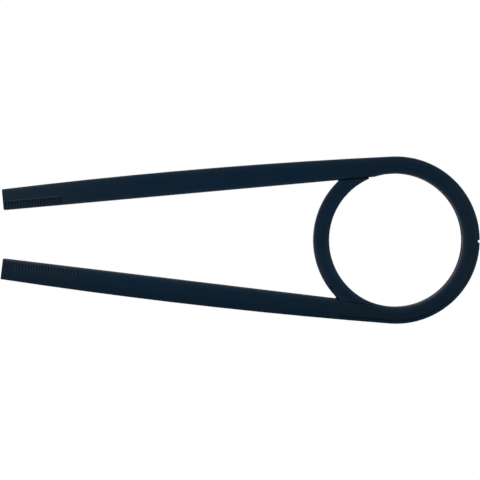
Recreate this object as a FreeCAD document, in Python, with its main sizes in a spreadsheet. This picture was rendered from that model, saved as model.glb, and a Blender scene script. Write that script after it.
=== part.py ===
import FreeCAD, Part
import math
import os
import Sketcher

# Front section of an enclosed bicycle chain case: two moulded plastic halves that close around a chainring.
# Each half is a channel of constant wall that opens inwards through a slot. The ring lies around the crank
# axis and two long arms run rearwards along the two runs of the chain.
# Frame: origin on the crank axis in the middle of the case, +X forwards, +Z up, outer face towards -Y.
# The lower half is drawn with its arm on top, as the upper half is, and is turned over about X at the end.

SIZES = [
    ("ring_inner_radius", 69.0, "crank opening"),
    ("ring_height", 17.4, "radial height of the ring's section"),
    ("arm_edge_drop", 1.7, "how far an arm's inner edge passes inside the crank opening's circle"),
    ("arm_angle", 6.0, "degrees, slope of an arm's inner edge"),
    ("arm_length", 400.0, "from the foot of the crank axis on the inner edge to the arm's end"),
    ("arm_end_height", 21.4, "height of the arm's open end"),
    ("arm_bow_radius", 5500.0, "bow of an arm's outer edge"),
    ("corner_radius", 15.0, "round between an arm's inner edge and the crank opening"),
    ("case_depth", 16.0, "outside depth along the crank axis"),
    ("wall", 1.6, "wall of the moulding"),
    ("slot_width", 5.5, "slot between the lips, where the chainring and the chain go in"),
    ("outer_edge_radius", 1.8, "round on the outer edges of both faces"),
    ("inner_edge_radius", 1.6, "round on the inner edges of both faces"),
    ("split_gap", 0.04, "gap between the halves at the front"),
    ("notch_width", 2.4, "open notch in the rim where the halves meet, with a round bottom"),
    ("notch_depth", 2.3, "radial depth of that notch"),
    ("notch_flare", 0.6, "bevel at the notch's mouth"),
    ("fit_clearance", 0.2, "play between a tongue or tab and the wall beside it"),
    ("tongue_length", 10.0, "reach of the upper half's tongue into the lower half"),
    ("tongue_thickness", 1.2, "thickness of that tongue"),
    ("tongue_side", 13.0, "radial height of the tongue's sides"),
    ("tongue_root_start", 1.0, "degrees, where the tongue's root starts behind the split"),
    ("bridge_height", 16.1, "radial height of the rear arc's section"),
    ("bridge_gap", 1.1, "open joint between the rear arc and the upper arm"),
    ("bridge_tip", 0.8, "blunt end of the rear arc beside the crank opening"),
    ("crotch_radius", 1.0, "round between the lower arm's inner edge and the rear arc"),
    ("tab_reach", 4.2, "reach of the rear arc's tabs into the upper arm"),
    ("tab_root", 3.0, "lap of a tab on the rear arc's side wall"),
    ("tab_thickness", 1.5, "thickness of a tab"),
    ("tab_margin", 0.8, "gap from a tab to the ends of the gap in the upper arm's lips"),
    ("groove_pitch", 3.0, "ratchet grooves for the sliding rear cover"),
    ("upper_groove_width", 2.0, "width of a groove on the upper arm"),
    ("lower_groove_width", 1.3, "width of a groove on the lower arm"),
    ("groove_depth", 1.0, "depth of a ratchet groove"),
    ("groove_first", 3.1, "from the arm's end to the middle of the first groove"),
    ("groove_height", 8.2, "from the inner edge to a groove's far end"),
    ("upper_groove_count", 20, "grooves on each face of the upper arm"),
    ("lower_groove_count", 26, "grooves on each face of the lower arm"),
    ("lower_groove_margin", 2.8, "plain strip between the inner edge and the lower arm's grooves"),
    ("rim_line_offset", 3.35, "from the rim to the fine line that follows it on the lower half's outer face"),
    ("rim_line_width", 0.7, "width of that line, a fine groove"),
    ("rim_line_depth", 0.6, "depth of that line"),
    ("rim_line_end", 52.0, "from the ring's foot to the line's end on the arm"),
    ("joint_line_offset", 2.2, "from the lower arm's inner edge to the line where the rear arc's face ends"),
    ("joint_line_width", 0.7, "width of that line, a fine groove"),
    ("joint_line_depth", 0.6, "depth of that line"),
    ("joint_line_end", 16.0, "from the foot of the crank axis to the line's front end"),
    ("slit_bite", 1.2, "how far the slit from the crotch to that line cuts into the rear arc, at its mouth"),
    ("slit_depth", 4.0, "depth of that slit, which opens into the hollow"),
    ("cut_overrun", 2.0, "how far every cut runs past the face that it opens"),
]

# Lengths that several features share, as expressions on the sheet.
INNER = "sizes.ring_inner_radius"
OUTER = "(sizes.ring_inner_radius + sizes.ring_height)"
BRIDGE_OUTER = "(sizes.ring_inner_radius + sizes.bridge_height)"
EDGE = "(sizes.ring_inner_radius - sizes.arm_edge_drop)"
JOINT = f"({EDGE} - sizes.bridge_gap)"
TIP = f"sqrt({INNER} ^ 2 - ({JOINT} - sizes.bridge_tip) ^ 2)"
CROTCH = f"sqrt({BRIDGE_OUTER} ^ 2 - {EDGE} ^ 2)"
WALL = "sizes.wall"
OVERRUN = "sizes.cut_overrun"
HOLLOW_DEPTH = "(sizes.case_depth - 2 * sizes.wall)"
FIT_DEPTH = f"({HOLLOW_DEPTH} - 2 * sizes.fit_clearance)"
ARM_ANGLE = "sizes.arm_angle * 1 deg"

ORIGIN = (-1, 1)
START, END, CENTRE = range(1, 4)
UP = FreeCAD.Vector(0, 0, 1)
# Two places closer than this, in millimetres, are the same place.
NEAR = 1e-3

doc = FreeCAD.newDocument("chain_case")
sheet = doc.addObject("Spreadsheet::Sheet", "sizes")
for row, (alias, size, meaning) in enumerate(SIZES, start=1):
    sheet.set(f"A{row}", alias)
    sheet.set(f"B{row}", str(size))
    sheet.set(f"C{row}", meaning)
    sheet.setAlias(f"B{row}", alias)
doc.recompute()


def number(expression):
    """Value of an expression on the sheet, in millimetres or degrees."""
    result = sheet.evalExpression(expression)
    return float(getattr(result, "Value", result))


def polar(radius, angle):
    return FreeCAD.Vector(radius * math.cos(angle), radius * math.sin(angle), 0)


def arm_point(along, across):
    """Sketch point at a distance along the arm, rearwards, and across it from the crank axis."""
    slope = math.radians(number("sizes.arm_angle"))
    return FreeCAD.Vector(
        -across * math.sin(slope) - along * math.cos(slope),
        across * math.cos(slope) - along * math.sin(slope),
        0,
    )


def other_arm_point(along, across):
    """The same place on the other half's arm."""
    point = arm_point(along, across)
    return FreeCAD.Vector(point.x, -point.y, 0)


def bearing(point, centre=FreeCAD.Vector(0, 0, 0)):
    """Angle of the line from centre to point."""
    return math.atan2(point.y - centre.y, point.x - centre.x)


# Sketches: geometry is placed from the sheet's values, then tied to them by dimensions.


def rule(sketch, kind, *places):
    sketch.addConstraint(Sketcher.Constraint(kind, *places))


def dimension(sketch, kind, *places, size):
    """Adds a dimension that follows an expression on the sheet."""
    amount = number(size)
    if kind == "Angle":
        amount = math.radians(amount)
    index = sketch.addConstraint(Sketcher.Constraint(kind, *places, amount))
    sketch.setExpression(f"Constraints[{index}]", size)


def line(sketch, start, end):
    return sketch.addGeometry(Part.LineSegment(start, end))


def arc(sketch, centre, radius, start, end):
    return sketch.addGeometry(Part.ArcOfCircle(Part.Circle(centre, UP, radius), start, end))


def new_sketch(body, name, plane="XZ_Plane", turn=None, axis=UP, lift=None):
    """Sketch on one of the body's origin planes, turned by an angle and lifted off the plane."""
    sketch = body.newObject("Sketcher::SketchObject", f"{body.Name}_{name}")
    support = next(feature for feature in body.Origin.OriginFeatures if feature.Role == plane)
    sketch.AttachmentSupport = [(support, "")]
    sketch.MapMode = "FlatFace"
    if turn:
        sketch.AttachmentOffset = FreeCAD.Placement(
            FreeCAD.Vector(0, 0, 0), FreeCAD.Rotation(axis, number(turn))
        )
        sketch.setExpression("AttachmentOffset.Rotation.Angle", turn)
    if lift:
        sketch.setExpression("AttachmentOffset.Base.z", lift)
    return sketch


def arm_sketch(body, name, lift=None):
    """Sketch whose axes run along the arm, forwards, and across it."""
    return new_sketch(body, name, turn=ARM_ANGLE, lift=lift)


def draw_path(sketch, corners):
    """Straight sides through the corners; each corner is a pair of expressions on the sheet."""
    points = [FreeCAD.Vector(number(x), number(y), 0) for x, y in corners]
    sides = [line(sketch, start, end) for start, end in zip(points, points[1:])]
    for side, following in zip(sides, sides[1:]):
        rule(sketch, "Coincident", side, END, following, START)
    for side, (x, y) in zip(sides, corners):
        dimension(sketch, "DistanceX", *ORIGIN, side, START, size=x)
        dimension(sketch, "DistanceY", *ORIGIN, side, START, size=y)
    return sides


def draw_polygon(sketch, corners):
    """Closed polygon; each corner is a pair of expressions on the sheet."""
    sides = draw_path(sketch, corners + corners[:1])
    rule(sketch, "Coincident", sides[-1], END, sides[0], START)


def draw_rectangle(sketch, left, right, bottom, top):
    draw_polygon(sketch, [(left, bottom), (right, bottom), (right, top), (left, top)])


def draw_arm_and_opening(sketch, inset, arm_end, split, arm_stop, opening_stop):
    """Arm's inner edge and the crank opening's arc, moved into the moulding by inset.

    The arm's line runs forwards from the arm's end to arm_stop, and the arc from the split to opening_stop.
    """
    edge = number(f"{EDGE} + {inset}")
    radius = number(f"{INNER} + {inset}")
    arm_line = line(sketch, arm_point(number(arm_end), edge), arm_stop)
    opening = arc(
        sketch, FreeCAD.Vector(0, 0, 0), radius, math.asin(number(split) / radius), bearing(opening_stop)
    )
    rule(sketch, "Coincident", opening, CENTRE, *ORIGIN)
    dimension(sketch, "Radius", opening, size=f"{INNER} + {inset}")
    dimension(sketch, "Angle", arm_line, size=ARM_ANGLE)
    dimension(sketch, "Distance", *ORIGIN, arm_line, size=f"{EDGE} + {inset}")
    dimension(
        sketch, "DistanceX", arm_line, START, *ORIGIN,
        size=f"({EDGE} + {inset}) * sin({ARM_ANGLE}) + ({arm_end}) * cos({ARM_ANGLE})",
    )
    dimension(sketch, "DistanceY", *ORIGIN, opening, START, size=split)
    return arm_line, opening


def draw_open_inner_edge(sketch, inset, arm_end, split):
    """Inner edge of the upper half: the arm runs through a round corner into the crank opening."""
    edge = number(f"{EDGE} + {inset}")
    radius = number(f"{INNER} + {inset}")
    round_radius = number(f"sizes.corner_radius - {inset}")
    along = math.sqrt((radius + round_radius) ** 2 - (edge + round_radius) ** 2)
    round_centre = arm_point(along, edge + round_radius)
    round_start = arm_point(along, edge)
    round_end = round_centre * (radius / (radius + round_radius))
    arm_line, opening = draw_arm_and_opening(sketch, inset, arm_end, split, round_start, round_end)
    corner = arc(
        sketch, round_centre, round_radius,
        bearing(round_start, round_centre), bearing(round_end, round_centre),
    )
    rule(sketch, "Tangent", arm_line, END, corner, START)
    rule(sketch, "Tangent", corner, END, opening, END)
    dimension(sketch, "Radius", corner, size=f"sizes.corner_radius - {inset}")
    return arm_line, opening


def draw_bridged_inner_edge(sketch, inset, arm_end, split):
    """Inner edge of the lower half: arm, crotch, back and end of the rear arc, and crank opening.

    The rear arc ends along the other arm's edge. The hollow, drawn with an inset, runs out through that end.
    """
    far_end = JOINT if inset == "0" else f"({JOINT} + {OVERRUN})"
    edge = number(f"{EDGE} + {inset}")
    radius = number(f"{INNER} + {inset}")
    back_radius = number(f"{BRIDGE_OUTER} - {inset}")
    round_radius = number(f"sizes.crotch_radius + {inset}")
    far = number(far_end)
    tip_place = f"{TIP} + {inset}"
    tip_along = number(tip_place)
    along = math.sqrt((back_radius + round_radius) ** 2 - (edge - round_radius) ** 2)
    round_centre = arm_point(along, edge - round_radius)
    round_start = arm_point(along, edge)
    round_end = round_centre * (back_radius / (back_radius + round_radius))
    heel = other_arm_point(math.sqrt(back_radius ** 2 - far ** 2), far)
    toe = other_arm_point(tip_along, far)
    tip = other_arm_point(tip_along, math.sqrt(radius ** 2 - tip_along ** 2))
    arm_line, opening = draw_arm_and_opening(sketch, inset, arm_end, split, round_start, tip)
    crotch = arc(
        sketch, round_centre, round_radius,
        bearing(round_end, round_centre), bearing(round_start, round_centre),
    )
    back = arc(sketch, FreeCAD.Vector(0, 0, 0), back_radius, bearing(round_end), bearing(heel))
    end_line = line(sketch, heel, toe)
    tip_line = line(sketch, toe, tip)
    rule(sketch, "Tangent", arm_line, END, crotch, END)
    rule(sketch, "Tangent", crotch, START, back, START)
    rule(sketch, "Coincident", back, CENTRE, *ORIGIN)
    rule(sketch, "Coincident", back, END, end_line, START)
    rule(sketch, "Coincident", end_line, END, tip_line, START)
    rule(sketch, "Coincident", tip_line, END, opening, END)
    rule(sketch, "Perpendicular", end_line, tip_line)
    dimension(sketch, "Radius", crotch, size=f"sizes.crotch_radius + {inset}")
    dimension(sketch, "Radius", back, size=f"{BRIDGE_OUTER} - {inset}")
    dimension(sketch, "Angle", end_line, size=f"-{ARM_ANGLE}")
    dimension(sketch, "Distance", *ORIGIN, end_line, size=far_end)
    dimension(sketch, "Distance", *ORIGIN, tip_line, size=tip_place)
    return arm_line, opening


def leave_angle(inset, arm_end):
    """Bearing from the crank axis at which the bowed edge leaves the ring's circle, as an expression.

    It leaves the circle at a tangent and ends at the arm's tip.
    """
    across = f"({EDGE} + sizes.arm_end_height - {inset})"
    reach = f"(({arm_end}) ^ 2 + {across} ^ 2)"
    offset = f"({OUTER} - sizes.arm_bow_radius)"
    foot = f"({reach} + {offset} ^ 2 - (sizes.arm_bow_radius - {inset}) ^ 2) / (2 * {offset})"
    return f"(90 deg + {ARM_ANGLE} + atan(({arm_end}) / {across}) - acos({foot} / sqrt({reach})))"


def draw_channel(sketch, draw_inner_edge, inset, arm_end, split):
    """Closed outline of a half, moved into the moulding by inset along its long edges."""
    arm_line, opening = draw_inner_edge(sketch, inset, arm_end, split)
    edge = number(f"{EDGE} + {inset}")
    radius = number(f"{OUTER} - {inset}")
    bow_radius = number(f"sizes.arm_bow_radius - {inset}")
    end_height = f"sizes.arm_end_height - 2 * {inset}"
    length = number(arm_end)
    height = number(split)
    tip = arm_point(length, edge + number(end_height))
    leave = math.radians(number(leave_angle(inset, arm_end)))
    bow_centre = polar(radius - bow_radius, leave)
    inner_split = FreeCAD.Vector(math.sqrt(number(f"{INNER} + {inset}") ** 2 - height ** 2), height, 0)
    outer_split = FreeCAD.Vector(math.sqrt(radius ** 2 - height ** 2), height, 0)
    split_line = line(sketch, inner_split, outer_split)
    rim = arc(sketch, FreeCAD.Vector(0, 0, 0), radius, bearing(outer_split), leave)
    bow = arc(sketch, bow_centre, bow_radius, leave, bearing(tip, bow_centre))
    end_line = line(sketch, tip, arm_point(length, edge))
    rule(sketch, "Coincident", opening, START, split_line, START)
    rule(sketch, "Coincident", split_line, END, rim, START)
    rule(sketch, "Tangent", rim, END, bow, START)
    rule(sketch, "Coincident", bow, END, end_line, START)
    rule(sketch, "Coincident", end_line, END, arm_line, START)
    rule(sketch, "Coincident", rim, CENTRE, *ORIGIN)
    rule(sketch, "Horizontal", split_line)
    rule(sketch, "Perpendicular", arm_line, end_line)
    dimension(sketch, "Radius", rim, size=f"{OUTER} - {inset}")
    dimension(sketch, "Radius", bow, size=f"sizes.arm_bow_radius - {inset}")
    dimension(sketch, "Distance", end_line, size=end_height)


def draw_rim_line(sketch, turn):
    """Fine groove that follows the rim at an even distance, from past the split to a place on the arm.

    The sketch is turned so that the bowed edge leaves the ring's circle on its upright axis.
    """
    centre = FreeCAD.Vector(0, 0, 0)
    bow_centre = FreeCAD.Vector(0, number(f"{OUTER} - sizes.arm_bow_radius"), 0)
    past_split = f"{OUTER} * sin({turn}) + {OVERRUN}"
    low = -number(past_split)
    far = -number("sizes.rim_line_end")
    rims, bows, starts, stops = [], [], [], []
    for inset in ("sizes.rim_line_offset", "(sizes.rim_line_offset + sizes.rim_line_width)"):
        radius = number(f"{OUTER} - {inset}")
        bow_radius = number(f"sizes.arm_bow_radius - {inset}")
        start = FreeCAD.Vector(math.sqrt(radius ** 2 - low ** 2), low, 0)
        stop = FreeCAD.Vector(far, bow_centre.y + math.sqrt(bow_radius ** 2 - far ** 2), 0)
        rim = arc(sketch, centre, radius, bearing(start), math.pi / 2)
        bow = arc(sketch, bow_centre, bow_radius, math.pi / 2, bearing(stop, bow_centre))
        rule(sketch, "Coincident", rim, CENTRE, *ORIGIN)
        rule(sketch, "Vertical", bow, CENTRE, *ORIGIN)
        rule(sketch, "Tangent", rim, END, bow, START)
        dimension(sketch, "Radius", rim, size=f"{OUTER} - {inset}")
        dimension(sketch, "Radius", bow, size=f"sizes.arm_bow_radius - {inset}")
        dimension(sketch, "DistanceY", rim, START, *ORIGIN, size=past_split)
        dimension(sketch, "DistanceX", bow, END, *ORIGIN, size="sizes.rim_line_end")
        rims.append(rim)
        bows.append(bow)
        starts.append(start)
        stops.append(stop)
    for edges, place, ends in ((rims, START, starts), (bows, END, stops)):
        closing = line(sketch, *ends)
        rule(sketch, "Coincident", closing, START, edges[0], place)
        rule(sketch, "Coincident", closing, END, edges[1], place)


# Features: each one is recomputed at once and has to change the body's volume in its own direction.


def volume(body):
    return 0.0 if body.Shape.isNull() else body.Shape.Volume


def settle(body, feature, before, adds):
    doc.recompute()
    change = volume(body) - before
    if change == 0 or (change > 0) != adds:
        raise RuntimeError(f"{feature.Name} changed the volume by {change:.3f} mm3")
    return feature


def extrude(body, kind, sketch, depth, symmetric=True, reverse=False):
    """Pad or Pocket of a sketch to a depth."""
    before = volume(body)
    feature = body.newObject(f"PartDesign::{kind}", f"{sketch.Name}_{kind.lower()}")
    feature.Profile = sketch
    feature.SideType = "Symmetric" if symmetric else "One side"
    feature.Reversed = reverse
    feature.setExpression("Length", depth)
    return settle(body, feature, before, kind == "Pad")


def revolve(body, kind, sketch, angle, symmetric=True, reverse=False):
    """Revolution or Groove of a sketch about the crank axis."""
    before = volume(body)
    feature = body.newObject(f"PartDesign::{kind}", f"{sketch.Name}_{kind.lower()}")
    feature.Profile = sketch
    feature.ReferenceAxis = (sketch, ["V_Axis"])
    feature.Midplane = symmetric
    feature.Reversed = reverse
    feature.setExpression("Angle", angle)
    return settle(body, feature, before, kind == "Revolution")


def round_edges(body, name, base, outer, radius):
    """Rounds the long outer or inner edges of both faces."""
    half = number("sizes.case_depth / 2")
    slope = math.radians(number("sizes.arm_angle"))
    middle = number(f"{EDGE} + sizes.arm_end_height / 2")
    ring_middle = number(f"{INNER} + sizes.ring_height / 2")
    arm_end = number("sizes.arm_length")
    split = number("sizes.split_gap / 2")
    joint = number(JOINT)
    tip = number(TIP)
    chosen = []
    for index, edge in enumerate(base.Shape.Edges, start=1):
        point = edge.valueAt((edge.FirstParameter + edge.LastParameter) / 2)
        across = -point.x * math.sin(slope) + point.z * math.cos(slope)
        along = -point.x * math.cos(slope) - point.z * math.sin(slope)
        far_across = -point.x * math.sin(slope) - point.z * math.cos(slope)
        far_along = -point.x * math.cos(slope) + point.z * math.sin(slope)
        on_face = abs(abs(point.y) - half) < NEAR
        at_arm_end = abs(along - arm_end) < NEAR
        at_split = point.x > 0 and abs(point.z - split) < NEAR
        at_joint = abs(far_across - joint) < NEAR
        at_tip = point.z < 0 and abs(far_along - tip) < NEAR
        at_end = at_arm_end or at_split or at_joint or at_tip
        is_outer = across > middle if point.x < 0 else math.hypot(point.x, point.z) > ring_middle
        if on_face and not at_end and is_outer == outer:
            chosen.append(f"Edge{index}")
    feature = body.newObject("PartDesign::Fillet", f"{body.Name}_{name}")
    feature.Base = (base, chosen)
    feature.setExpression("Radius", radius)
    doc.recompute()
    return feature


def cut_grooves(body, face, arm, bottom):
    """Row of ratchet grooves on one face of the upper or lower arm.

    face is 1 towards -Y and -1 towards +Y in the body's own frame.
    """
    side = "near" if face > 0 else "far"
    sketch = arm_sketch(body, f"grooves_{side}", lift=f"{face} * sizes.case_depth / 2")
    middle = "sizes.groove_first - sizes.arm_length"
    half = f"sizes.{arm}_groove_width / 2"
    top = f"{EDGE} + sizes.groove_height"
    draw_rectangle(sketch, f"{middle} - {half}", f"{middle} + {half}", bottom, top)
    groove = extrude(body, "Pocket", sketch, "sizes.groove_depth", symmetric=False, reverse=face < 0)
    before = volume(body)
    row = body.newObject("PartDesign::LinearPattern", f"{sketch.Name}_row")
    row.Originals = [groove]
    row.Direction = (sketch, ["H_Axis"])
    row.setExpression("Length", f"sizes.groove_pitch * (sizes.{arm}_groove_count - 1)")
    row.setExpression("Occurrences", f"sizes.{arm}_groove_count")
    body.Tip = row
    return settle(body, row, before, adds=False)


def start_half(label, draw_inner_edge):
    """Solid half with rounded edges, hollowed to an even wall and slotted along its inner edge."""
    body = doc.addObject("PartDesign::Body", label)
    body.Label = label
    outline = new_sketch(body, "outline")
    draw_channel(outline, draw_inner_edge, "0", "sizes.arm_length", "sizes.split_gap / 2")
    solid = extrude(body, "Pad", outline, "sizes.case_depth")
    rounded = round_edges(body, "outer_rounds", solid, True, "sizes.outer_edge_radius")
    round_edges(body, "inner_rounds", rounded, False, "sizes.inner_edge_radius")
    channel = new_sketch(body, "channel")
    draw_channel(channel, draw_inner_edge, WALL, f"sizes.arm_length + {OVERRUN}", f"-{OVERRUN}")
    extrude(body, "Pocket", channel, HOLLOW_DEPTH)
    return body


def cut_slots(body, arm_front):
    """Slot between the lips around the crank opening, and along the arm from arm_front to its end."""
    ring_slot = new_sketch(body, "ring_slot", "XY_Plane")
    draw_rectangle(
        ring_slot,
        f"{INNER} - {OVERRUN}", f"{INNER} + {WALL} + {OVERRUN}",
        "-sizes.slot_width / 2", "sizes.slot_width / 2",
    )
    revolve(body, "Groove", ring_slot, "360 deg")
    arm_slot = arm_sketch(body, "arm_slot")
    draw_rectangle(
        arm_slot,
        f"-(sizes.arm_length + {OVERRUN})", f"-{arm_front}",
        f"{EDGE} - {OVERRUN}", f"{EDGE} + {WALL} + {OVERRUN}",
    )
    extrude(body, "Pocket", arm_slot, "sizes.slot_width")


def cut_notch(body):
    """Open notch in the rim at the split, with a round bottom and a bevelled mouth."""
    bottom = f"{OUTER} - sizes.notch_depth"
    half = "sizes.notch_width / 2"
    corners = [
        (f"{bottom} + {half}", half),
        (f"{OUTER} - sizes.notch_flare", half),
        (f"{OUTER} + {OVERRUN}", f"{half} + sizes.notch_flare + {OVERRUN}"),
        (f"{OUTER} + {OVERRUN}", f"-{half}"),
        (bottom, f"-{half}"),
        (bottom, "0"),
    ]
    sketch = new_sketch(body, "notch")
    sides = draw_path(sketch, corners)
    centre = FreeCAD.Vector(number(f"{bottom} + {half}"), 0, 0)
    floor = arc(sketch, centre, number(half), math.pi / 2, math.pi)
    rule(sketch, "Tangent", sides[0], START, floor, START)
    rule(sketch, "Tangent", sides[-1], END, floor, END)
    extrude(body, "Pocket", sketch, f"sizes.case_depth + {OVERRUN}")


def draw_tongue(sketch, grow):
    """U section of the tongue under the rim; grow thickens it outwards, into the walls."""
    top = f"{OUTER} - {WALL} - sizes.fit_clearance"
    half = f"{FIT_DEPTH} / 2"
    tip = f"{top} - sizes.tongue_side"
    inner_half = f"{half} - sizes.tongue_thickness"
    draw_polygon(sketch, [
        (tip, f"{half} + {grow}"),
        (tip, inner_half),
        (f"{top} - sizes.tongue_thickness", inner_half),
        (f"{top} - sizes.tongue_thickness", f"-({inner_half})"),
        (tip, f"-({inner_half})"),
        (tip, f"-({half} + {grow})"),
        (f"{top} + {grow}", f"-({half} + {grow})"),
        (f"{top} + {grow}", f"{half} + {grow}"),
    ])


def add_tongue(body):
    """Tongue that slides into the lower half at the front, on a root that is one with the walls."""
    reach = f"sizes.tongue_length / {OUTER} * 1 rad"
    root = new_sketch(
        body, "tongue_root", "XY_Plane", turn="-sizes.tongue_root_start * 1 deg", axis=FreeCAD.Vector(0, 1, 0)
    )
    draw_tongue(root, f"sizes.fit_clearance + {WALL} / 4")
    revolve(
        body, "Revolution", root, f"{reach} - sizes.tongue_root_start * 1 deg", symmetric=False, reverse=True
    )
    tongue = new_sketch(body, "tongue", "XY_Plane")
    draw_tongue(tongue, "0")
    revolve(body, "Revolution", tongue, f"2 * {reach}")


TAB_LOW = f"({JOINT} - sizes.tab_root)"
TAB_HIGH = f"({EDGE} + sizes.tab_reach)"
TAB_FRONT = f"sqrt(({INNER} + {WALL} / 2) ^ 2 - {TAB_LOW} ^ 2)"
TAB_LEAD = f"({TIP} + sizes.fit_clearance)"
TAB_REAR = f"(sqrt({BRIDGE_OUTER} ^ 2 - {JOINT} ^ 2) - sizes.fit_clearance)"


def open_lips_for_tabs(body):
    """Gap in the upper arm's lips where the rear arc's tabs go in."""
    sketch = arm_sketch(body, "tab_gap")
    draw_rectangle(
        sketch,
        f"-({TAB_REAR} + sizes.tab_margin)", f"-({TAB_LEAD} - sizes.tab_margin)",
        f"{EDGE} - {OVERRUN}", f"{EDGE} + {WALL} + {OVERRUN}",
    )
    extrude(body, "Pocket", sketch, HOLLOW_DEPTH)


def add_tabs(body):
    """Two tabs on the rear arc's side walls that enter the upper arm through the gap in its lips.

    A root joins each tab to its side wall. The tab's front edge runs up inside the rear arc's lip.
    """
    embedded = f"({HOLLOW_DEPTH} + {WALL})"
    low = f"-{TAB_LOW}"
    high = f"-{TAB_HIGH}"
    for face, side in ((1, "near"), (-1, "far")):
        root = new_sketch(body, f"tab_root_{side}", turn=f"-{ARM_ANGLE}", lift=f"{face} * {embedded} / 2")
        draw_rectangle(root, f"-{TAB_REAR}", f"-{TAB_FRONT}", f"sizes.fit_clearance - {JOINT}", low)
        thickness = f"({embedded} - {FIT_DEPTH}) / 2 + sizes.tab_thickness"
        extrude(body, "Pad", root, thickness, symmetric=False, reverse=face > 0)
        tab = new_sketch(body, f"tab_{side}", turn=f"-{ARM_ANGLE}", lift=f"{face} * {FIT_DEPTH} / 2")
        draw_polygon(tab, [
            (f"-{TAB_REAR}", high), (f"-{TAB_LEAD}", high), (f"-{TAB_LEAD}", f"-{JOINT}"),
            (f"-{TAB_FRONT}", low), (f"-{TAB_REAR}", low),
        ])
        extrude(body, "Pad", tab, "sizes.tab_thickness", symmetric=False, reverse=face > 0)


def cut_face_lines(body):
    """Fine lines on the lower half's outer face: along the rim, and the rear arc's joint line and slit."""
    face = "-sizes.case_depth / 2"
    turn = f"({leave_angle('0', 'sizes.arm_length')} - 90 deg)"
    rim = new_sketch(body, "rim_line", turn=turn, lift=face)
    draw_rim_line(rim, turn)
    extrude(body, "Pocket", rim, "sizes.rim_line_depth", symmetric=False, reverse=True)
    level = f"({EDGE} + sizes.joint_line_offset)"
    slit_end = f"sqrt({BRIDGE_OUTER} ^ 2 - {level} ^ 2)"
    joint = arm_sketch(body, "joint_line", lift=face)
    draw_rectangle(
        joint,
        f"-({slit_end} + sizes.joint_line_width / 2)", "-sizes.joint_line_end",
        f"{level} - sizes.joint_line_width", level,
    )
    extrude(body, "Pocket", joint, "sizes.joint_line_depth", symmetric=False, reverse=True)
    slit = arm_sketch(body, "joint_slit", lift=face)
    slit_top = f"{level} + sizes.joint_line_width / 4"
    mouth = f"sqrt(({BRIDGE_OUTER} + sizes.crotch_radius) ^ 2 - ({EDGE} - sizes.crotch_radius) ^ 2)"
    mouth_low = f"({EDGE} - {OVERRUN})"
    back = f"sqrt({BRIDGE_OUTER} ^ 2 - {mouth_low} ^ 2)"
    draw_polygon(slit, [
        (f"-{mouth}", mouth_low),
        (f"-({back} - sizes.slit_bite)", mouth_low),
        (f"-{slit_end}", slit_top),
        (f"-({slit_end} + sizes.joint_line_width)", slit_top),
        (f"-{mouth}", EDGE),
    ])
    extrude(body, "Pocket", slit, "sizes.slit_depth", symmetric=False, reverse=True)


def make_upper_half():
    body = start_half("upper_half", draw_open_inner_edge)
    cut_slots(body, "0")
    open_lips_for_tabs(body)
    add_tongue(body)
    cut_notch(body)
    for face in (1, -1):
        cut_grooves(body, face, "upper", f"{EDGE} - {OVERRUN}")
    return body


def make_lower_half():
    body = start_half("lower_half", draw_bridged_inner_edge)
    cut_slots(body, f"({CROTCH} + sizes.crotch_radius + {OVERRUN})")
    add_tabs(body)
    cut_notch(body)
    cut_face_lines(body)
    for face in (1, -1):
        cut_grooves(body, face, "lower", f"{EDGE} + sizes.lower_groove_margin")
    body.Placement = FreeCAD.Placement(
        FreeCAD.Vector(0, 0, 0), FreeCAD.Rotation(FreeCAD.Vector(1, 0, 0), 180)
    )
    return body


halves = [make_upper_half(), make_lower_half()]
doc.recompute()

for item in doc.Objects:
    if "Invalid" in item.State or "Error" in item.State:
        raise RuntimeError(f"{item.Name} failed: {item.State}")
for half in halves:
    if half.Shape.isNull() or not half.Shape.isValid() or len(half.Shape.Solids) != 1:
        raise RuntimeError(f"{half.Label} is not one valid solid")

os.makedirs("parts", exist_ok=True)
for half in halves:
    half.Shape.exportStep(f"parts/{half.Label}.step")
    print(half.Label, round(half.Shape.Volume / 1000, 2), "cm3", half.Shape.optimalBoundingBox())
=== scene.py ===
"""Looks of a bicycle chain case's front section: matt moulded plastic in a soft white studio."""

import math

import bmesh
import bpy
from bpy.props import FloatProperty, FloatVectorProperty, PointerProperty
from mathutils import Matrix, Vector


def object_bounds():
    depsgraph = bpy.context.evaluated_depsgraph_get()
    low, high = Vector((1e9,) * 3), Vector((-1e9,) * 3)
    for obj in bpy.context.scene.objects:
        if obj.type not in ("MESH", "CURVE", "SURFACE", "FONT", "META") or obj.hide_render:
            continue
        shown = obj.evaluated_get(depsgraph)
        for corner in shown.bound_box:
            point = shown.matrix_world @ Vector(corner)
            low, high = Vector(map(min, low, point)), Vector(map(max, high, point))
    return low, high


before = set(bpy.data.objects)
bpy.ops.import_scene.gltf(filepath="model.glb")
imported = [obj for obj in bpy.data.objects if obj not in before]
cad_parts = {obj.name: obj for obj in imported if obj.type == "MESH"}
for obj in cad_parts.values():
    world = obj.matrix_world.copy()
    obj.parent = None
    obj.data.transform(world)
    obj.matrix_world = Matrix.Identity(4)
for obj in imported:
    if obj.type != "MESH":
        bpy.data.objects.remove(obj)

bl_info = {
    "name": "Chain Case Looks",
    "version": (1, 0, 0),
    "blender": (4, 5, 0),
    "location": "3D View > Sidebar > Chain Case",
    "description": "Finishes the two halves of a bicycle chain case and sets up a studio around them",
    "category": "Object",
}

CAD_LOW, CAD_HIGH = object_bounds()
CAD_MIDDLE = (CAD_LOW + CAD_HIGH) / 2
WHITE = (1.0, 1.0, 1.0, 1.0)

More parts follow.
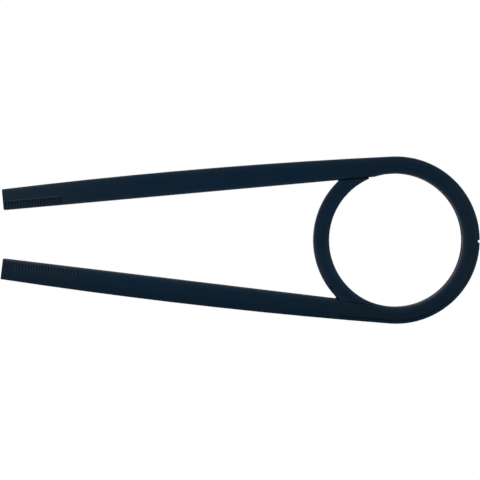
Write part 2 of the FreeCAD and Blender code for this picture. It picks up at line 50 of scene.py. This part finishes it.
# The case's outline, with lengths in metres.
RING_INNER = 0.0690  # radius of the crank opening
RING_OUTER = 0.0864  # radius of the ring's rim
ARC_OUTER = 0.0851  # radius of the rear arc's back
ARM_ANGLE = math.radians(6)  # slope of an arm's inner edge
ARM_EDGE = 0.0673  # from the crank axis square to that edge
ARM_LENGTH = 0.400  # from there along that edge to the arm's end
ARM_END_HEIGHT = 0.0214
BOW_RADIUS = 5.5  # radius of the bow of an arm's outer edge
FACE = CAD_HIGH.y  # half the case's depth

# The ratchet rows, in metres along and across an arm.
GROOVE_PITCH = 0.0030
GROOVE_FIRST = 0.0031  # from the arm's end to the first groove's middle
GROOVE_TOP = 0.0082  # from the inner edge to the grooves' far ends
UPPER_ROW_START = 0.3385
LOWER_ROW_START = 0.3205
ROW_FADE = 0.0005  # soft border of a row
LIP_WIDTH = 0.0014  # painted highlight above each groove, where the groove's upper end catches light
LIP_FULL, LIP_END = 0.2, 0.35  # half a lip's length, in pitches, where it is full and where it ends

# Where the cold cast, the painted highlights and the painted shade start, are full and end, with lengths in
# metres, and the noise that breaks up the highlights.
SUNK_START, SUNK_FULL = 0.0002, 0.0005  # depth below the face
FLAT_START, FLAT_FULL = 0.7, 0.95  # how squarely a recess's floor faces along Y
BAND_LOW, BAND_HIGH = -0.03, 0.03  # heights between which the painted highlight band leaves the inner edges for the rim
SHADE_FULL, SHADE_END = 0.02, 0.07  # along X, towards the front: the painted shade in the lines and on the underside fades out, and the rim's painted highlight comes in
SIDE_FULL, SIDE_END = -0.03, -0.005  # across an arm, from its inner edge
ARMS_FULL = 0.3 * ARM_LENGTH  # along an arm, for its cold cast
ENDS_START = 0.6 * ARM_LENGTH  # along an arm, for the painted sheen at its end
NOISE_LOW, NOISE_HIGH = 0.3, 0.7  # range that most of a noise lies in
GRAIN_LOW, GRAIN_HIGH = 0.2, 0.8  # the same of the grain
LEAST_NOISE_SHARE = 0.6  # share of the painted highlights and the ridges' polish where the noise is lowest
NOISE_PER_PATCH = 4  # how much finer the noise that breaks them up is than the flow patches

# Shares of the painted highlights. The lower arm's end gets less painted sheen than the upper one's, and
# its ridges more painted highlight and polish.
LOWER_END_SHEEN = 0.38
UPPER_RIDGE_SHEEN_AND_POLISH, LOWER_RIDGE_SHEEN_AND_POLISH = 0.42, 0.75
TOP_SHARE, BOTTOM_SHARE = 1.5, 0.8  # of the painted sheen at the top and the bottom of an arm's end, lighter at the top where the light falls
LIP_BRIGHTNESS = 2.0  # of the highlight colour, for the painted highlights on the lips
SHADE_BRIGHTNESS = 0.3  # of the cold colour, for the painted shade

# Painted shade on the outer face where the rear arc meets the lower arm, where a small recess lies in
# shade: a strip along the arc's back and a spot at the strip's upper end. Angles are about the crank axis,
# lengths in metres.
STRIP_ANGLE, STRIP_REACH, STRIP_WIDTH = math.radians(222.2), 0.0062, 0.0014
SPOT_ANGLE, SPOT_INSET, SPOT_RADIUS = math.radians(217.2), 0.0020, 0.0025
SHADE_CORE = 0.6  # share of its reach over which such painted shade is full

# The floor is whole up to the first share of its radius and gone at the second.
FLOOR_WHOLE, FLOOR_GONE = 0.45, 0.95
SKY_COLOR = (0.93, 0.97, 1.0, 1.0)
CARD_COLOR = (0.01, 0.01, 0.01, 1.0)


class CasePlasticSettings(bpy.types.PropertyGroup):
    """Finish of the moulded plastic, with its painted highlights and painted shade."""

    color: FloatVectorProperty(
        name="Colour", description="Body of the plastic",
        default=(0.0034, 0.0128, 0.0232), size=3, min=0, max=1, subtype="COLOR",
    )
    # Darkened, the cold colour is also the colour of the painted shade.
    cold_color: FloatVectorProperty(
        name="Cold Colour", description="Its colder cast, in patches and along the arms",
        default=(0.0010, 0.0133, 0.0315), size=3, min=0, max=1, subtype="COLOR",
    )
    # Colour of the painted highlights and painted sheen on edges, sides, arm ends, ridges and lips.
    highlight_color: FloatVectorProperty(
        name="Highlight Colour", description="Painted highlights on edges, sides, arm ends, ridges and lips",
        default=(0.020, 0.034, 0.050), size=3, min=0, max=1, subtype="COLOR",
    )
    roughness: FloatProperty(
        name="Roughness", description="Mean roughness of the grain",
        default=0.5, min=0, max=1, subtype="FACTOR",
    )
    roughness_spread: FloatProperty(
        name="Roughness Spread", description="How far the grain's peaks and pits differ from that",
        default=0.06, min=0, max=1, subtype="FACTOR",
    )
    specular_level: FloatProperty(
        name="Specular Level", description="How much a matt mould finish reflects",
        default=0.10, min=0, max=1, subtype="FACTOR",
    )
    refraction: FloatProperty(
        name="Refraction", description="Index of refraction of the plastic", default=1.49, min=1,
    )
    grain_size: FloatProperty(
        name="Grain Size", description="Width of one grain of the mould's spark finish",
        default=0.0007, unit="LENGTH",
    )
    grain_height: FloatProperty(
        name="Grain Height", description="Height of that grain", default=0.00003, unit="LENGTH",
    )
    grain_strength: FloatProperty(
        name="Grain Strength", description="How strongly that grain turns the light",
        default=0.6, min=0, max=1, subtype="FACTOR",
    )
    patch_size: FloatProperty(
        name="Patch Size", description="Width of the faint flow patches in the plastic",
        default=0.030, unit="LENGTH",
    )
    patch_share: FloatProperty(
        name="Patch Share", description="Share of the cold colour in the patches",
        default=0.6, min=0, max=1, subtype="FACTOR",
    )
    arm_share: FloatProperty(
        name="Arm Share", description="Share of the cold colour along the arms",
        default=0.5, min=0, max=1, subtype="FACTOR",
    )
    edge_width: FloatProperty(
        name="Edge Width", description="How far the lighter inner edges reach into the faces",
        default=0.0045, unit="LENGTH",
    )
    # Painted highlight along the inner edges, where their rounding catches light.
    edge_highlight: FloatProperty(
        name="Edge Highlight", description="Share of the rubbed colour along the inner edges",
        default=0.3, min=0, max=1, subtype="FACTOR",
    )
    top_width: FloatProperty(
        name="Top Width", description="How far the light band along upward edges reaches into the faces",
        default=0.008, unit="LENGTH",
    )
    # Painted highlight along the upward edges and the front rim, which the light from above falls on.
    top_highlight: FloatProperty(
        name="Top Highlight", description="Share of the rubbed colour along the upward edges and the front rim",
        default=0.35, min=0, max=1, subtype="FACTOR",
    )
    # Painted highlight on the ring's sides.
    side_highlight: FloatProperty(
        name="Side Highlight", description="Share of the rubbed colour on the ring's sides",
        default=0.1, min=0, max=1, subtype="FACTOR",
    )
    # Painted sheen at the arms' ends.
    end_sheen: FloatProperty(
        name="End Sheen", description="Share of the rubbed colour at the arms' ends",
        default=0.22, min=0, max=1, subtype="FACTOR",
    )
    # Painted highlight on the ratchet's ridges, whose rounded edges catch light.
    ridge_highlight: FloatProperty(
        name="Ridge Highlight", description="Share of the rubbed colour on the ratchet's ridges",
        default=0.7, min=0, max=1, subtype="FACTOR",
    )
    ridge_polish: FloatProperty(
        name="Ridge Polish", description="How much smoother those ridges are",
        default=0.12, min=0, max=1, subtype="FACTOR",
    )
    # Painted highlight on the lips above the grooves.
    lip_highlight: FloatProperty(
        name="Lip Highlight", description="Share of a brighter rubbed colour on the lips above the grooves",
        default=0.6, min=0, max=1, subtype="FACTOR",
    )
    # Painted shade towards the lower arm's underside.
    under_shade: FloatProperty(
        name="Underside Shade", description="Painted shade towards the lower arm's underside",
        default=0.3, min=0, max=1, subtype="FACTOR",
    )
    # Painted shade in the ratchet's grooves.
    groove_shade: FloatProperty(
        name="Groove Shade", description="Painted shade in the ratchet's grooves",
        default=0.1, min=0, max=1, subtype="FACTOR",
    )
    # Painted shade in the fine lines and the slit.
    line_shade: FloatProperty(
        name="Line Shade", description="Painted shade in the fine lines and the slit",
        default=0.6, min=0, max=1, subtype="FACTOR",
    )
    # Painted shade at the rear arc's joint.
    joint_shade: FloatProperty(
        name="Joint Shade", description="Painted shade at the rear arc's joint",
        default=0.9, min=0, max=1, subtype="FACTOR",
    )


class StageSettings(bpy.types.PropertyGroup):
    """Camera, lamps, floor and background."""

    camera_distance: FloatProperty(
        name="Camera Distance", description="From the lens to the case's near face",
        default=1.455, unit="LENGTH",
    )
    view_width: FloatProperty(
        name="View Width", description="Width of the picture at the near face",
        default=0.4944, unit="LENGTH",
    )
    aim: FloatVectorProperty(
        name="Aim", description="Middle of the picture on the near face, along X and Z",
        default=(-0.1609, -0.0023), size=2, unit="LENGTH",
    )
    roll: FloatProperty(
        name="Roll", description="Turn of the camera about its own line of sight",
        default=math.radians(-0.854), unit="ROTATION",
    )
    key_power: FloatProperty(
        name="Key Power", description="Large lamp above and in front", default=24.0, unit="POWER",
    )
    key_size: FloatProperty(
        name="Key Size", description="Side of that lamp", default=1.2, unit="LENGTH",
    )
    key_place: FloatVectorProperty(
        name="Key Place", description="From the case's middle to that lamp",
        default=(-0.25, -0.45, 1.5), size=3, unit="LENGTH",
    )
    fill_power: FloatProperty(
        name="Fill Power", description="Lamp at the arms' side", default=5.0, unit="POWER",
    )
    fill_size: FloatProperty(
        name="Fill Size", description="Side of that lamp", default=0.9, unit="LENGTH",
    )
    fill_place: FloatVectorProperty(
        name="Fill Place", description="From the case's middle to that lamp",
        default=(-1.2, -1.2, 0.3), size=3, unit="LENGTH",
    )
    ambient: FloatProperty(
        name="Ambient", description="Strength of the light from all around", default=0.5, min=0,
    )
    floor_color: FloatVectorProperty(
        name="Floor Colour", description="Pale floor",
        default=(0.86, 0.87, 0.88), size=3, min=0, max=1, subtype="COLOR",
    )
    floor_drop: FloatProperty(
        name="Floor Drop", description="From the case's lowest point down to the floor",
        default=0.55, unit="LENGTH",
    )
    floor_radius: FloatProperty(
        name="Floor Radius", description="Round floor, which fades out towards its edge",
        default=2.0, unit="LENGTH",
    )
    card_distance: FloatProperty(
        name="Card Distance", description="From the case's middle to the black card behind the lens",
        default=1.75, unit="LENGTH",
    )
    card_size: FloatProperty(
        name="Card Size", description="Half the side of that card", default=3.0, unit="LENGTH",
    )


def new_tree(owner):
    """Empty node tree of a material or world."""
    owner.use_nodes = True
    owner.node_tree.nodes.clear()
    return owner.node_tree


def add_node(tree, kind, inputs=None, **values):
    """Node of a kind; inputs maps a socket's name or place to a value or to another node's output."""
    node = tree.nodes.new(kind)
    for name, value in values.items():
        setattr(node, name, value)
    for socket, value in (inputs or {}).items():
        if isinstance(value, bpy.types.NodeSocket):
            tree.links.new(value, node.inputs[socket])
        else:
            node.inputs[socket].default_value = value
    return node


def new_group(name, inputs, outputs):
    """Shader node group from a Vector and named values to named results, with its two ends' sockets."""
    tree = bpy.data.node_groups.new(name, "ShaderNodeTree")
    tree.interface.new_socket(name="Vector", in_out="INPUT", socket_type="NodeSocketVector")
    for socket in inputs:
        tree.interface.new_socket(name=socket, in_out="INPUT", socket_type="NodeSocketFloat")
    for socket in outputs:
        tree.interface.new_socket(name=socket, in_out="OUTPUT", socket_type="NodeSocketFloat")
    entry = tree.nodes.new("NodeGroupInput")
    leave = tree.nodes.new("NodeGroupOutput")
    return tree, entry.outputs, leave.inputs


def ease(tree, value, low, high, to_low=0.0, to_high=1.0):
    """Value eased from one range to another."""
    node = add_node(
        tree, "ShaderNodeMapRange",
        {"Value": value, "From Min": low, "From Max": high, "To Min": to_low, "To Max": to_high},
        interpolation_type="SMOOTHSTEP",
    )
    return node.outputs["Result"]


def choose(tree, switch, off, on):
    """Off where the switch is 0, on where it is 1, and eased between them."""
    return ease(tree, switch, 0.0, 1.0, off, on)


def maths(tree, operation, *values):
    """Result of a Math node."""
    return add_node(tree, "ShaderNodeMath", dict(enumerate(values)), operation=operation).outputs[0]


def product(tree, first, *others):
    """Product of any number of values."""
    for other in others:
        first = maths(tree, "MULTIPLY", first, other)
    return first


def vector_maths(tree, operation, *vectors):
    """Value that a Vector Math node makes of its vectors."""
    node = add_node(tree, "ShaderNodeVectorMath", dict(enumerate(vectors)), operation=operation)
    return node.outputs["Value"]


def mix_color(tree, factor, first, second):
    """Colour between two, at a factor from the first to the second."""
    node = add_node(tree, "ShaderNodeMix", data_type="RGBA")
    for socket, value in (("Factor_Float", factor), ("A_Color", first), ("B_Color", second)):
        target = next(entry for entry in node.inputs if entry.identifier == socket)
        if isinstance(value, bpy.types.NodeSocket):
            tree.links.new(value, target)
        else:
            target.default_value = value
    return next(entry for entry in node.outputs if entry.identifier == "Result_Color")


def shade(color, factor=1.0):
    """Colour with alpha, made lighter or darker by a factor."""
    return tuple(factor * channel for channel in color) + (1.0,)


def make_grain_group():
    """Spark-eroded mould grain, and the broad patches that the melt leaves as it flows."""
    tree, given, results = new_group("moulded_grain", ["Grain Scale", "Patch Scale"], ["Grain", "Patches"])
    grain = add_node(
        tree, "ShaderNodeTexNoise",
        {"Vector": given["Vector"], "Scale": given["Grain Scale"], "Detail": 2.0, "Roughness": 0.6},
    )
    patches = add_node(
        tree, "ShaderNodeTexNoise",
        {"Vector": given["Vector"], "Scale": given["Patch Scale"], "Detail": 4.0, "Roughness": 0.55},
    )
    tree.links.new(grain.outputs["Fac"], results["Grain"])
    tree.links.new(ease(tree, patches.outputs["Fac"], NOISE_LOW, NOISE_HIGH), results["Patches"])
    return tree


def bow_start():
    """Angle about the crank axis at which the ring's rim runs into the bow of the upper arm."""
    across = ARM_EDGE + ARM_END_HEIGHT
    tip = Vector((
        -across * math.sin(ARM_ANGLE) - ARM_LENGTH * math.cos(ARM_ANGLE),
        across * math.cos(ARM_ANGLE) - ARM_LENGTH * math.sin(ARM_ANGLE),
    ))
    apart = RING_OUTER - BOW_RADIUS
    reach = (tip.length_squared + apart ** 2 - BOW_RADIUS ** 2) / (2 * apart)
    return math.atan2(tip.y, tip.x) - math.acos(reach / tip.length)


def make_outline_group():
    """Place on the case: distances from the nearest inner edge and the rim, and along and across an arm."""
    tree, given, results = new_group(
        "case_outline", [], ["Edge Distance", "Rim Distance", "Along", "Across"]
    )
    parts = add_node(tree, "ShaderNodeSeparateXYZ", {"Vector": given["Vector"]}).outputs

    # The arms mirror each other, so a place is folded up onto the upper one.
    height = maths(tree, "ABSOLUTE", parts["Z"])
    folded = add_node(tree, "ShaderNodeCombineXYZ", {"X": parts["X"], "Z": height}).outputs["Vector"]
    radius = vector_maths(tree, "LENGTH", folded)
    rearwards = (-math.cos(ARM_ANGLE), 0, -math.sin(ARM_ANGLE))
    outwards = (-math.sin(ARM_ANGLE), 0, math.cos(ARM_ANGLE))
    tree.links.new(vector_maths(tree, "DOT_PRODUCT", folded, rearwards), results["Along"])
    from_arm = maths(tree, "SUBTRACT", vector_maths(tree, "DOT_PRODUCT", folded, outwards), ARM_EDGE)
    tree.links.new(from_arm, results["Across"])

    # In front of the crank axis there is no gap between the arms, so a metre is added to its distance.
    from_arc = maths(tree, "SUBTRACT", ARC_OUTER, radius)
    in_front = maths(tree, "GREATER_THAN", parts["X"], 0.0)
    from_gap = maths(tree, "ADD", maths(tree, "MAXIMUM", from_arm, from_arc), in_front)
    from_opening = maths(tree, "SUBTRACT", radius, RING_INNER)
    tree.links.new(maths(tree, "MINIMUM", from_opening, from_gap), results["Edge Distance"])

    # The rim is the ring's circle up to the bow, and the bow's circle from there to the arm's end.
    start = bow_start()
    apart = RING_OUTER - BOW_RADIUS
    bow_middle = (apart * math.cos(start), 0, apart * math.sin(start))
    along_rim = (-math.sin(start), 0, math.cos(start))
    on_bow = maths(tree, "GREATER_THAN", vector_maths(tree, "DOT_PRODUCT", folded, along_rim), 0.0)
    from_ring = maths(tree, "SUBTRACT", RING_OUTER, radius)
    from_bow = maths(tree, "SUBTRACT", BOW_RADIUS, vector_maths(tree, "DISTANCE", folded, bow_middle))
    tree.links.new(choose(tree, on_bow, from_ring, from_bow), results["Rim Distance"])
    return tree


def shade_around(tree, place, radius, angle, reach):
    """Mask around a point on the outer face, given about the crank axis, which ends at its reach."""
    point = (radius * math.cos(angle), -FACE, radius * math.sin(angle))
    away = vector_maths(tree, "DISTANCE", place, point)
    return ease(tree, away, SHADE_CORE * reach, reach, 1.0, 0.0)


def make_cast_and_painted_light_group():
    """Masks of the cold arms, of the painted highlights and sheen with the ridges' polish, and of the
    painted shade in recesses, on undersides and at the joint.
    """
    tree, given, results = new_group(
        "case_cast_and_painted_light",
        ["Edge Width", "Top Width", "Scale"],
        [
            "Arms", "Edges", "Tops", "Sides", "Arm Ends", "Ridges", "Lips",
            "Undersides", "Grooves", "Lines", "Joint",
        ],
    )
    place = given["Vector"]
    split = add_node(tree, "ShaderNodeSeparateXYZ", {"Vector": place}).outputs
    outline = add_node(tree, "ShaderNodeGroup", {"Vector": place}, node_tree=make_outline_group()).outputs
    along, across = outline["Along"], outline["Across"]
    upper = maths(tree, "GREATER_THAN", split["Z"], 0.0)
    noise = add_node(
        tree, "ShaderNodeTexNoise",
        {"Vector": place, "Scale": given["Scale"], "Detail": 5.0, "Roughness": 0.65},
    )
    broken = ease(tree, noise.outputs["Fac"], NOISE_LOW, NOISE_HIGH, LEAST_NOISE_SHARE, 1.0)

    # Painted highlights on the inner edges, the upward edges and the ring's sides. The highlight band
    # follows the rim above and at the front, and the inner edges below.
    edges = ease(tree, outline["Edge Distance"], 0.0, given["Edge Width"], 1.0, 0.0)
    above = ease(tree, split["Z"], BAND_LOW, BAND_HIGH)
    below = maths(tree, "SUBTRACT", 1.0, above)
    # Painted shade fades out towards the front, where the rim's painted highlight comes in.
    behind_front = ease(tree, split["X"], SHADE_FULL, SHADE_END, 1.0, 0.0)
    rim_share = maths(tree, "MAXIMUM", above, maths(tree, "SUBTRACT", 1.0, behind_front))
    rims = ease(tree, outline["Rim Distance"], 0.0, given["Top Width"], rim_share, 0.0)
    sills = ease(tree, outline["Edge Distance"], 0.0, given["Top Width"], below, 0.0)
    sides = ease(tree, across, SIDE_FULL, SIDE_END, 1.0, 0.0)
    tree.links.new(product(tree, edges, broken), results["Edges"])
    tree.links.new(product(tree, maths(tree, "MAXIMUM", rims, sills), broken), results["Tops"])
    tree.links.new(product(tree, sides, broken), results["Sides"])

    # Arms: the cold cast of their middle stretch, the painted sheen at their ends, lighter at the top, and
    # the painted shade towards the lower one's underside.
    from_top = choose(tree, above, outline["Edge Distance"], outline["Rim Distance"])
    ends = ease(tree, along, ENDS_START, ARM_LENGTH)
    end_share = ease(tree, from_top, 0.0, ARM_END_HEIGHT, TOP_SHARE, BOTTOM_SHARE)
    arm_share = choose(tree, upper, LOWER_END_SHEEN, 1.0)
    before_ends = maths(tree, "SUBTRACT", 1.0, ends)
    under = ease(tree, from_top, given["Top Width"], ARM_END_HEIGHT)
    tree.links.new(product(tree, ease(tree, along, 0.0, ARMS_FULL), before_ends), results["Arms"])
    tree.links.new(product(tree, ends, broken, arm_share, end_share), results["Arm Ends"])
    tree.links.new(product(tree, under, below, behind_front), results["Undersides"])

    # Ratchet rows: painted highlight and polish on the ridges between the grooves, and on the upper arm a
    # painted highlight above each groove.
    row_start = choose(tree, upper, LOWER_ROW_START, UPPER_ROW_START)
    past_start = ease(tree, maths(tree, "SUBTRACT", along, row_start), 0.0, ROW_FADE)
    past_top = maths(tree, "SUBTRACT", across, GROOVE_TOP)
    in_row = product(tree, past_start, ease(tree, past_top, 0.0, ROW_FADE, 1.0, 0.0))
    from_first = maths(tree, "SUBTRACT", ARM_LENGTH - GROOVE_FIRST, along)
    from_groove = maths(tree, "PINGPONG", maths(tree, "DIVIDE", from_first, GROOVE_PITCH), 0.5)
    lip_length = ease(tree, from_groove, LIP_FULL, LIP_END, 1.0, 0.0)
    from_lip = maths(tree, "ABSOLUTE", maths(tree, "SUBTRACT", past_top, LIP_WIDTH / 2))
    lip_width = ease(tree, from_lip, LIP_WIDTH / 4, LIP_WIDTH / 2, 1.0, 0.0)
    depth = maths(tree, "ABSOLUTE", split["Y"])
    on_face = product(tree, ease(tree, depth, FACE - SUNK_START, FACE), broken)
    ridge_share = choose(tree, upper, LOWER_RIDGE_SHEEN_AND_POLISH, UPPER_RIDGE_SHEEN_AND_POLISH)
    tree.links.new(product(tree, on_face, in_row, ridge_share), results["Ridges"])
    tree.links.new(product(tree, on_face, lip_length, lip_width, past_start, upper), results["Lips"])

    # Painted shade in recesses: the grooves, then the fine lines and the slit, and at the rear arc's joint.
    normal = add_node(tree, "ShaderNodeNewGeometry").outputs["Normal"]
    facing = add_node(tree, "ShaderNodeSeparateXYZ", {"Vector": normal}).outputs["Y"]
    flat = ease(tree, maths(tree, "ABSOLUTE", facing), FLAT_START, FLAT_FULL)
    recesses = product(tree, ease(tree, depth, FACE - SUNK_FULL, FACE - SUNK_START, 1.0, 0.0), flat)
    grooves = product(tree, recesses, in_row)
    lines = maths(tree, "SUBTRACT", recesses, grooves)
    strip_width = ease(tree, outline["Edge Distance"], STRIP_WIDTH / 2, STRIP_WIDTH, 1.0, 0.0)
    strip = product(tree, strip_width, shade_around(tree, place, ARC_OUTER, STRIP_ANGLE, STRIP_REACH))
    spot = shade_around(tree, place, ARC_OUTER - SPOT_INSET, SPOT_ANGLE, SPOT_RADIUS)
    tree.links.new(grooves, results["Grooves"])
    tree.links.new(product(tree, lines, behind_front), results["Lines"])
    tree.links.new(maths(tree, "MAXIMUM", strip, spot), results["Joint"])
    return tree


def make_case_plastic(settings):
    """Matt black moulded plastic with a cold cast, faint patches, fine grain, painted highlights and
    painted shade.
    """
    material = bpy.data.materials.new("case_plastic_finish")
    tree = new_tree(material)
    place = add_node(tree, "ShaderNodeTexCoord").outputs["Object"]
    grain_scales = {"Grain Scale": 1 / settings.grain_size, "Patch Scale": 1 / settings.patch_size}
    grain = add_node(tree, "ShaderNodeGroup", node_tree=make_grain_group())
    cast_and_painted_light_sizes = {
        "Edge Width": settings.edge_width,
        "Top Width": settings.top_width,
        "Scale": NOISE_PER_PATCH / settings.patch_size,
    }
    cast_and_painted_light = add_node(tree, "ShaderNodeGroup", node_tree=make_cast_and_painted_light_group())
    for group, sizes in ((grain, grain_scales), (cast_and_painted_light, cast_and_painted_light_sizes)):
        tree.links.new(place, group.inputs["Vector"])
        for name, size in sizes.items():
            group.inputs[name].default_value = size

    cold = maths(
        tree, "ADD",
        product(tree, grain.outputs["Patches"], settings.patch_share),
        product(tree, cast_and_painted_light.outputs["Arms"], settings.arm_share),
    )
    color = mix_color(tree, cold, shade(settings.color), shade(settings.cold_color))
    # Colours of the painted highlights and of the painted shade.
    highlight = shade(settings.highlight_color)
    bright_highlight = shade(settings.highlight_color, LIP_BRIGHTNESS)
    painted_shade = shade(settings.cold_color, SHADE_BRIGHTNESS)
    # Each mask mixes painted shade or a painted highlight into the colour at its share.
    for mask, strength, coat in (
        ("Undersides", settings.under_shade, painted_shade),
        ("Sides", settings.side_highlight, highlight),
        ("Tops", settings.top_highlight, highlight),
        ("Edges", settings.edge_highlight, highlight),
        ("Arm Ends", settings.end_sheen, highlight),
        ("Ridges", settings.ridge_highlight, highlight),
        ("Lips", settings.lip_highlight, bright_highlight),
        ("Grooves", settings.groove_shade, painted_shade),
        ("Lines", settings.line_shade, painted_shade),
        ("Joint", settings.joint_shade, painted_shade),
    ):
        color = mix_color(tree, product(tree, cast_and_painted_light.outputs[mask], strength), color, coat)

    smoothest = settings.roughness - settings.roughness_spread
    roughest = settings.roughness + settings.roughness_spread
    grainy = ease(tree, grain.outputs["Grain"], GRAIN_LOW, GRAIN_HIGH, smoothest, roughest)
    polish = product(tree, cast_and_painted_light.outputs["Ridges"], settings.ridge_polish)
    bump = add_node(
        tree, "ShaderNodeBump",
        {
            "Strength": settings.grain_strength,
            "Distance": settings.grain_height,
            "Height": grain.outputs["Grain"],
        },
    )
    plastic = add_node(
        tree, "ShaderNodeBsdfPrincipled",
        {
            "Base Color": color,
            "Roughness": maths(tree, "SUBTRACT", grainy, polish),
            "Normal": bump.outputs["Normal"],
            "IOR": settings.refraction,
            "Specular IOR Level": settings.specular_level,
        },
    )
    add_node(tree, "ShaderNodeOutputMaterial", {"Surface": plastic.outputs["BSDF"]})
    return material


class CHAINCASE_OT_finish_halves(bpy.types.Operator):
    """Gives both halves of the case their moulded plastic"""

    bl_idname = "chaincase.finish_halves"
    bl_label = "Finish the Halves"

    def execute(self, context):
        material = make_case_plastic(context.scene.case_plastic)
        for name in ("upper_half", "lower_half"):
            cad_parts[name].material_slots[0].material = material
        return {"FINISHED"}


def add_lamp(name, place, size, power):
    """Square lamp at a place relative to the case's middle, which it points at."""
    lamp = bpy.data.lights.new(name, "AREA")
    lamp.shape = "SQUARE"
    lamp.size = size
    lamp.energy = power
    holder = bpy.data.objects.new(name, lamp)
    holder.location = CAD_MIDDLE + Vector(place)
    holder.rotation_euler = (-Vector(place)).to_track_quat("-Z", "Y").to_euler()
    bpy.context.scene.collection.objects.link(holder)


def make_world(settings):
    """White behind the case, and an even light of its own strength on it."""
    world = bpy.data.worlds.new("studio_light")
    tree = new_tree(world)
    path = add_node(tree, "ShaderNodeLightPath").outputs
    seen = maths(tree, "MAXIMUM", path["Is Camera Ray"], path["Is Glossy Ray"])
    shown = maths(tree, "MAXIMUM", seen, path["Is Transmission Ray"])
    light = add_node(tree, "ShaderNodeBackground", {"Color": SKY_COLOR, "Strength": settings.ambient})
    white = add_node(tree, "ShaderNodeBackground", {"Color": WHITE, "Strength": 1.0})
    mix = add_node(
        tree, "ShaderNodeMixShader",
        {0: shown, 1: light.outputs["Background"], 2: white.outputs["Background"]},
    )
    add_node(tree, "ShaderNodeOutputWorld", {"Surface": mix.outputs["Shader"]})
    bpy.context.scene.world = world


def make_floor_paper(settings):
    """Pale paper that fades out with distance and is clear from below, so that it hides nothing."""
    material = bpy.data.materials.new("floor_paper")
    tree = new_tree(material)
    place = add_node(tree, "ShaderNodeTexCoord").outputs["Object"]
    whole, gone = FLOOR_WHOLE * settings.floor_radius, FLOOR_GONE * settings.floor_radius
    fade = ease(tree, vector_maths(tree, "LENGTH", place), whole, gone)
    from_below = add_node(tree, "ShaderNodeNewGeometry").outputs["Backfacing"]
    paper = add_node(
        tree, "ShaderNodeBsdfPrincipled", {"Base Color": shade(settings.floor_color), "Roughness": 0.9}
    )
    clear = add_node(tree, "ShaderNodeBsdfTransparent")
    mix = add_node(
        tree, "ShaderNodeMixShader",
        {0: maths(tree, "MAXIMUM", fade, from_below), 1: paper.outputs["BSDF"], 2: clear.outputs["BSDF"]},
    )
    add_node(tree, "ShaderNodeOutputMaterial", {"Surface": mix.outputs["Shader"]})
    return material


def add_stage_piece(name, shape, material, location):
    """Object of the stage from a bmesh, which is freed."""
    mesh = bpy.data.meshes.new(name)
    shape.to_mesh(mesh)
    shape.free()
    mesh.materials.append(material)
    piece = bpy.data.objects.new(name, mesh)
    piece.location = location
    bpy.context.scene.collection.objects.link(piece)
    return piece


def add_floor(settings):
    """Round floor well below the case."""
    shape = bmesh.new()
    bmesh.ops.create_circle(shape, cap_ends=True, segments=64, radius=settings.floor_radius)
    location = Vector((CAD_MIDDLE.x, CAD_MIDDLE.y, CAD_LOW.z - settings.floor_drop))
    floor = add_stage_piece("floor", shape, make_floor_paper(settings), location)


def add_dark_card(settings):
    """Black card behind the lens, which keeps the flat faces dark."""
    material = bpy.data.materials.new("card_black")
    tree = new_tree(material)
    black = add_node(tree, "ShaderNodeBsdfPrincipled", {"Base Color": CARD_COLOR, "Roughness": 1.0})
    add_node(tree, "ShaderNodeOutputMaterial", {"Surface": black.outputs["BSDF"]})
    shape = bmesh.new()
    bmesh.ops.create_grid(shape, x_segments=1, y_segments=1, size=settings.card_size)
    bmesh.ops.rotate(shape, verts=shape.verts, matrix=Matrix.Rotation(math.radians(-90), 3, "X"))
    location = CAD_MIDDLE - Vector((0, settings.card_distance, 0))
    card = add_stage_piece("dark_card", shape, material, location)
    card.visible_camera = False
    card.visible_diffuse = False


def add_camera(settings):
    """Camera square to the case's outer face."""
    lens = bpy.data.cameras.new("camera")
    lens.angle = 2 * math.atan(settings.view_width / 2 / settings.camera_distance)
    camera = bpy.data.objects.new("camera", lens)
    camera.location = (settings.aim[0], CAD_LOW.y - settings.camera_distance, settings.aim[1])
    camera.rotation_euler = (math.radians(90), settings.roll, 0)
    bpy.context.scene.collection.objects.link(camera)
    bpy.context.scene.camera = camera


class CHAINCASE_OT_set_stage(bpy.types.Operator):
    """Sets up the camera, the lamps, the floor and the white background"""

    bl_idname = "chaincase.set_stage"
    bl_label = "Set the Stage"

    def execute(self, context):
        settings = context.scene.case_stage
        context.scene.view_settings.view_transform = "Standard"
        make_world(settings)
        add_floor(settings)
        add_dark_card(settings)
        add_lamp("key_lamp", settings.key_place, settings.key_size, settings.key_power)
        add_lamp("fill_lamp", settings.fill_place, settings.fill_size, settings.fill_power)
        add_camera(settings)
        return {"FINISHED"}


class CHAINCASE_PT_looks(bpy.types.Panel):
    """Lists the steps that dress the case and its stage"""

    bl_idname = "CHAINCASE_PT_looks"
    bl_label = "Chain Case"
    bl_space_type = "VIEW_3D"
    bl_region_type = "UI"
    bl_category = "Chain Case"

    def draw(self, context):
        for operator, settings in STEPS:
            self.layout.operator(operator.bl_idname)
            for name in settings.__annotations__:
                self.layout.prop(getattr(context.scene, SETTINGS[settings]), name)


SETTINGS = {CasePlasticSettings: "case_plastic", StageSettings: "case_stage"}
STEPS = [
    (CHAINCASE_OT_finish_halves, CasePlasticSettings),
    (CHAINCASE_OT_set_stage, StageSettings),
]
CLASSES = [*SETTINGS, *(operator for operator, settings in STEPS), CHAINCASE_PT_looks]


def register():
    for cls in CLASSES:
        bpy.utils.register_class(cls)
    for settings, name in SETTINGS.items():
        setattr(bpy.types.Scene, name, PointerProperty(type=settings))


def unregister():
    for name in SETTINGS.values():
        delattr(bpy.types.Scene, name)
    for cls in reversed(CLASSES):
        bpy.utils.unregister_class(cls)


def main():
    register()
    bpy.ops.chaincase.finish_halves()
    bpy.ops.chaincase.set_stage()


if __name__ == "__main__":
    main()
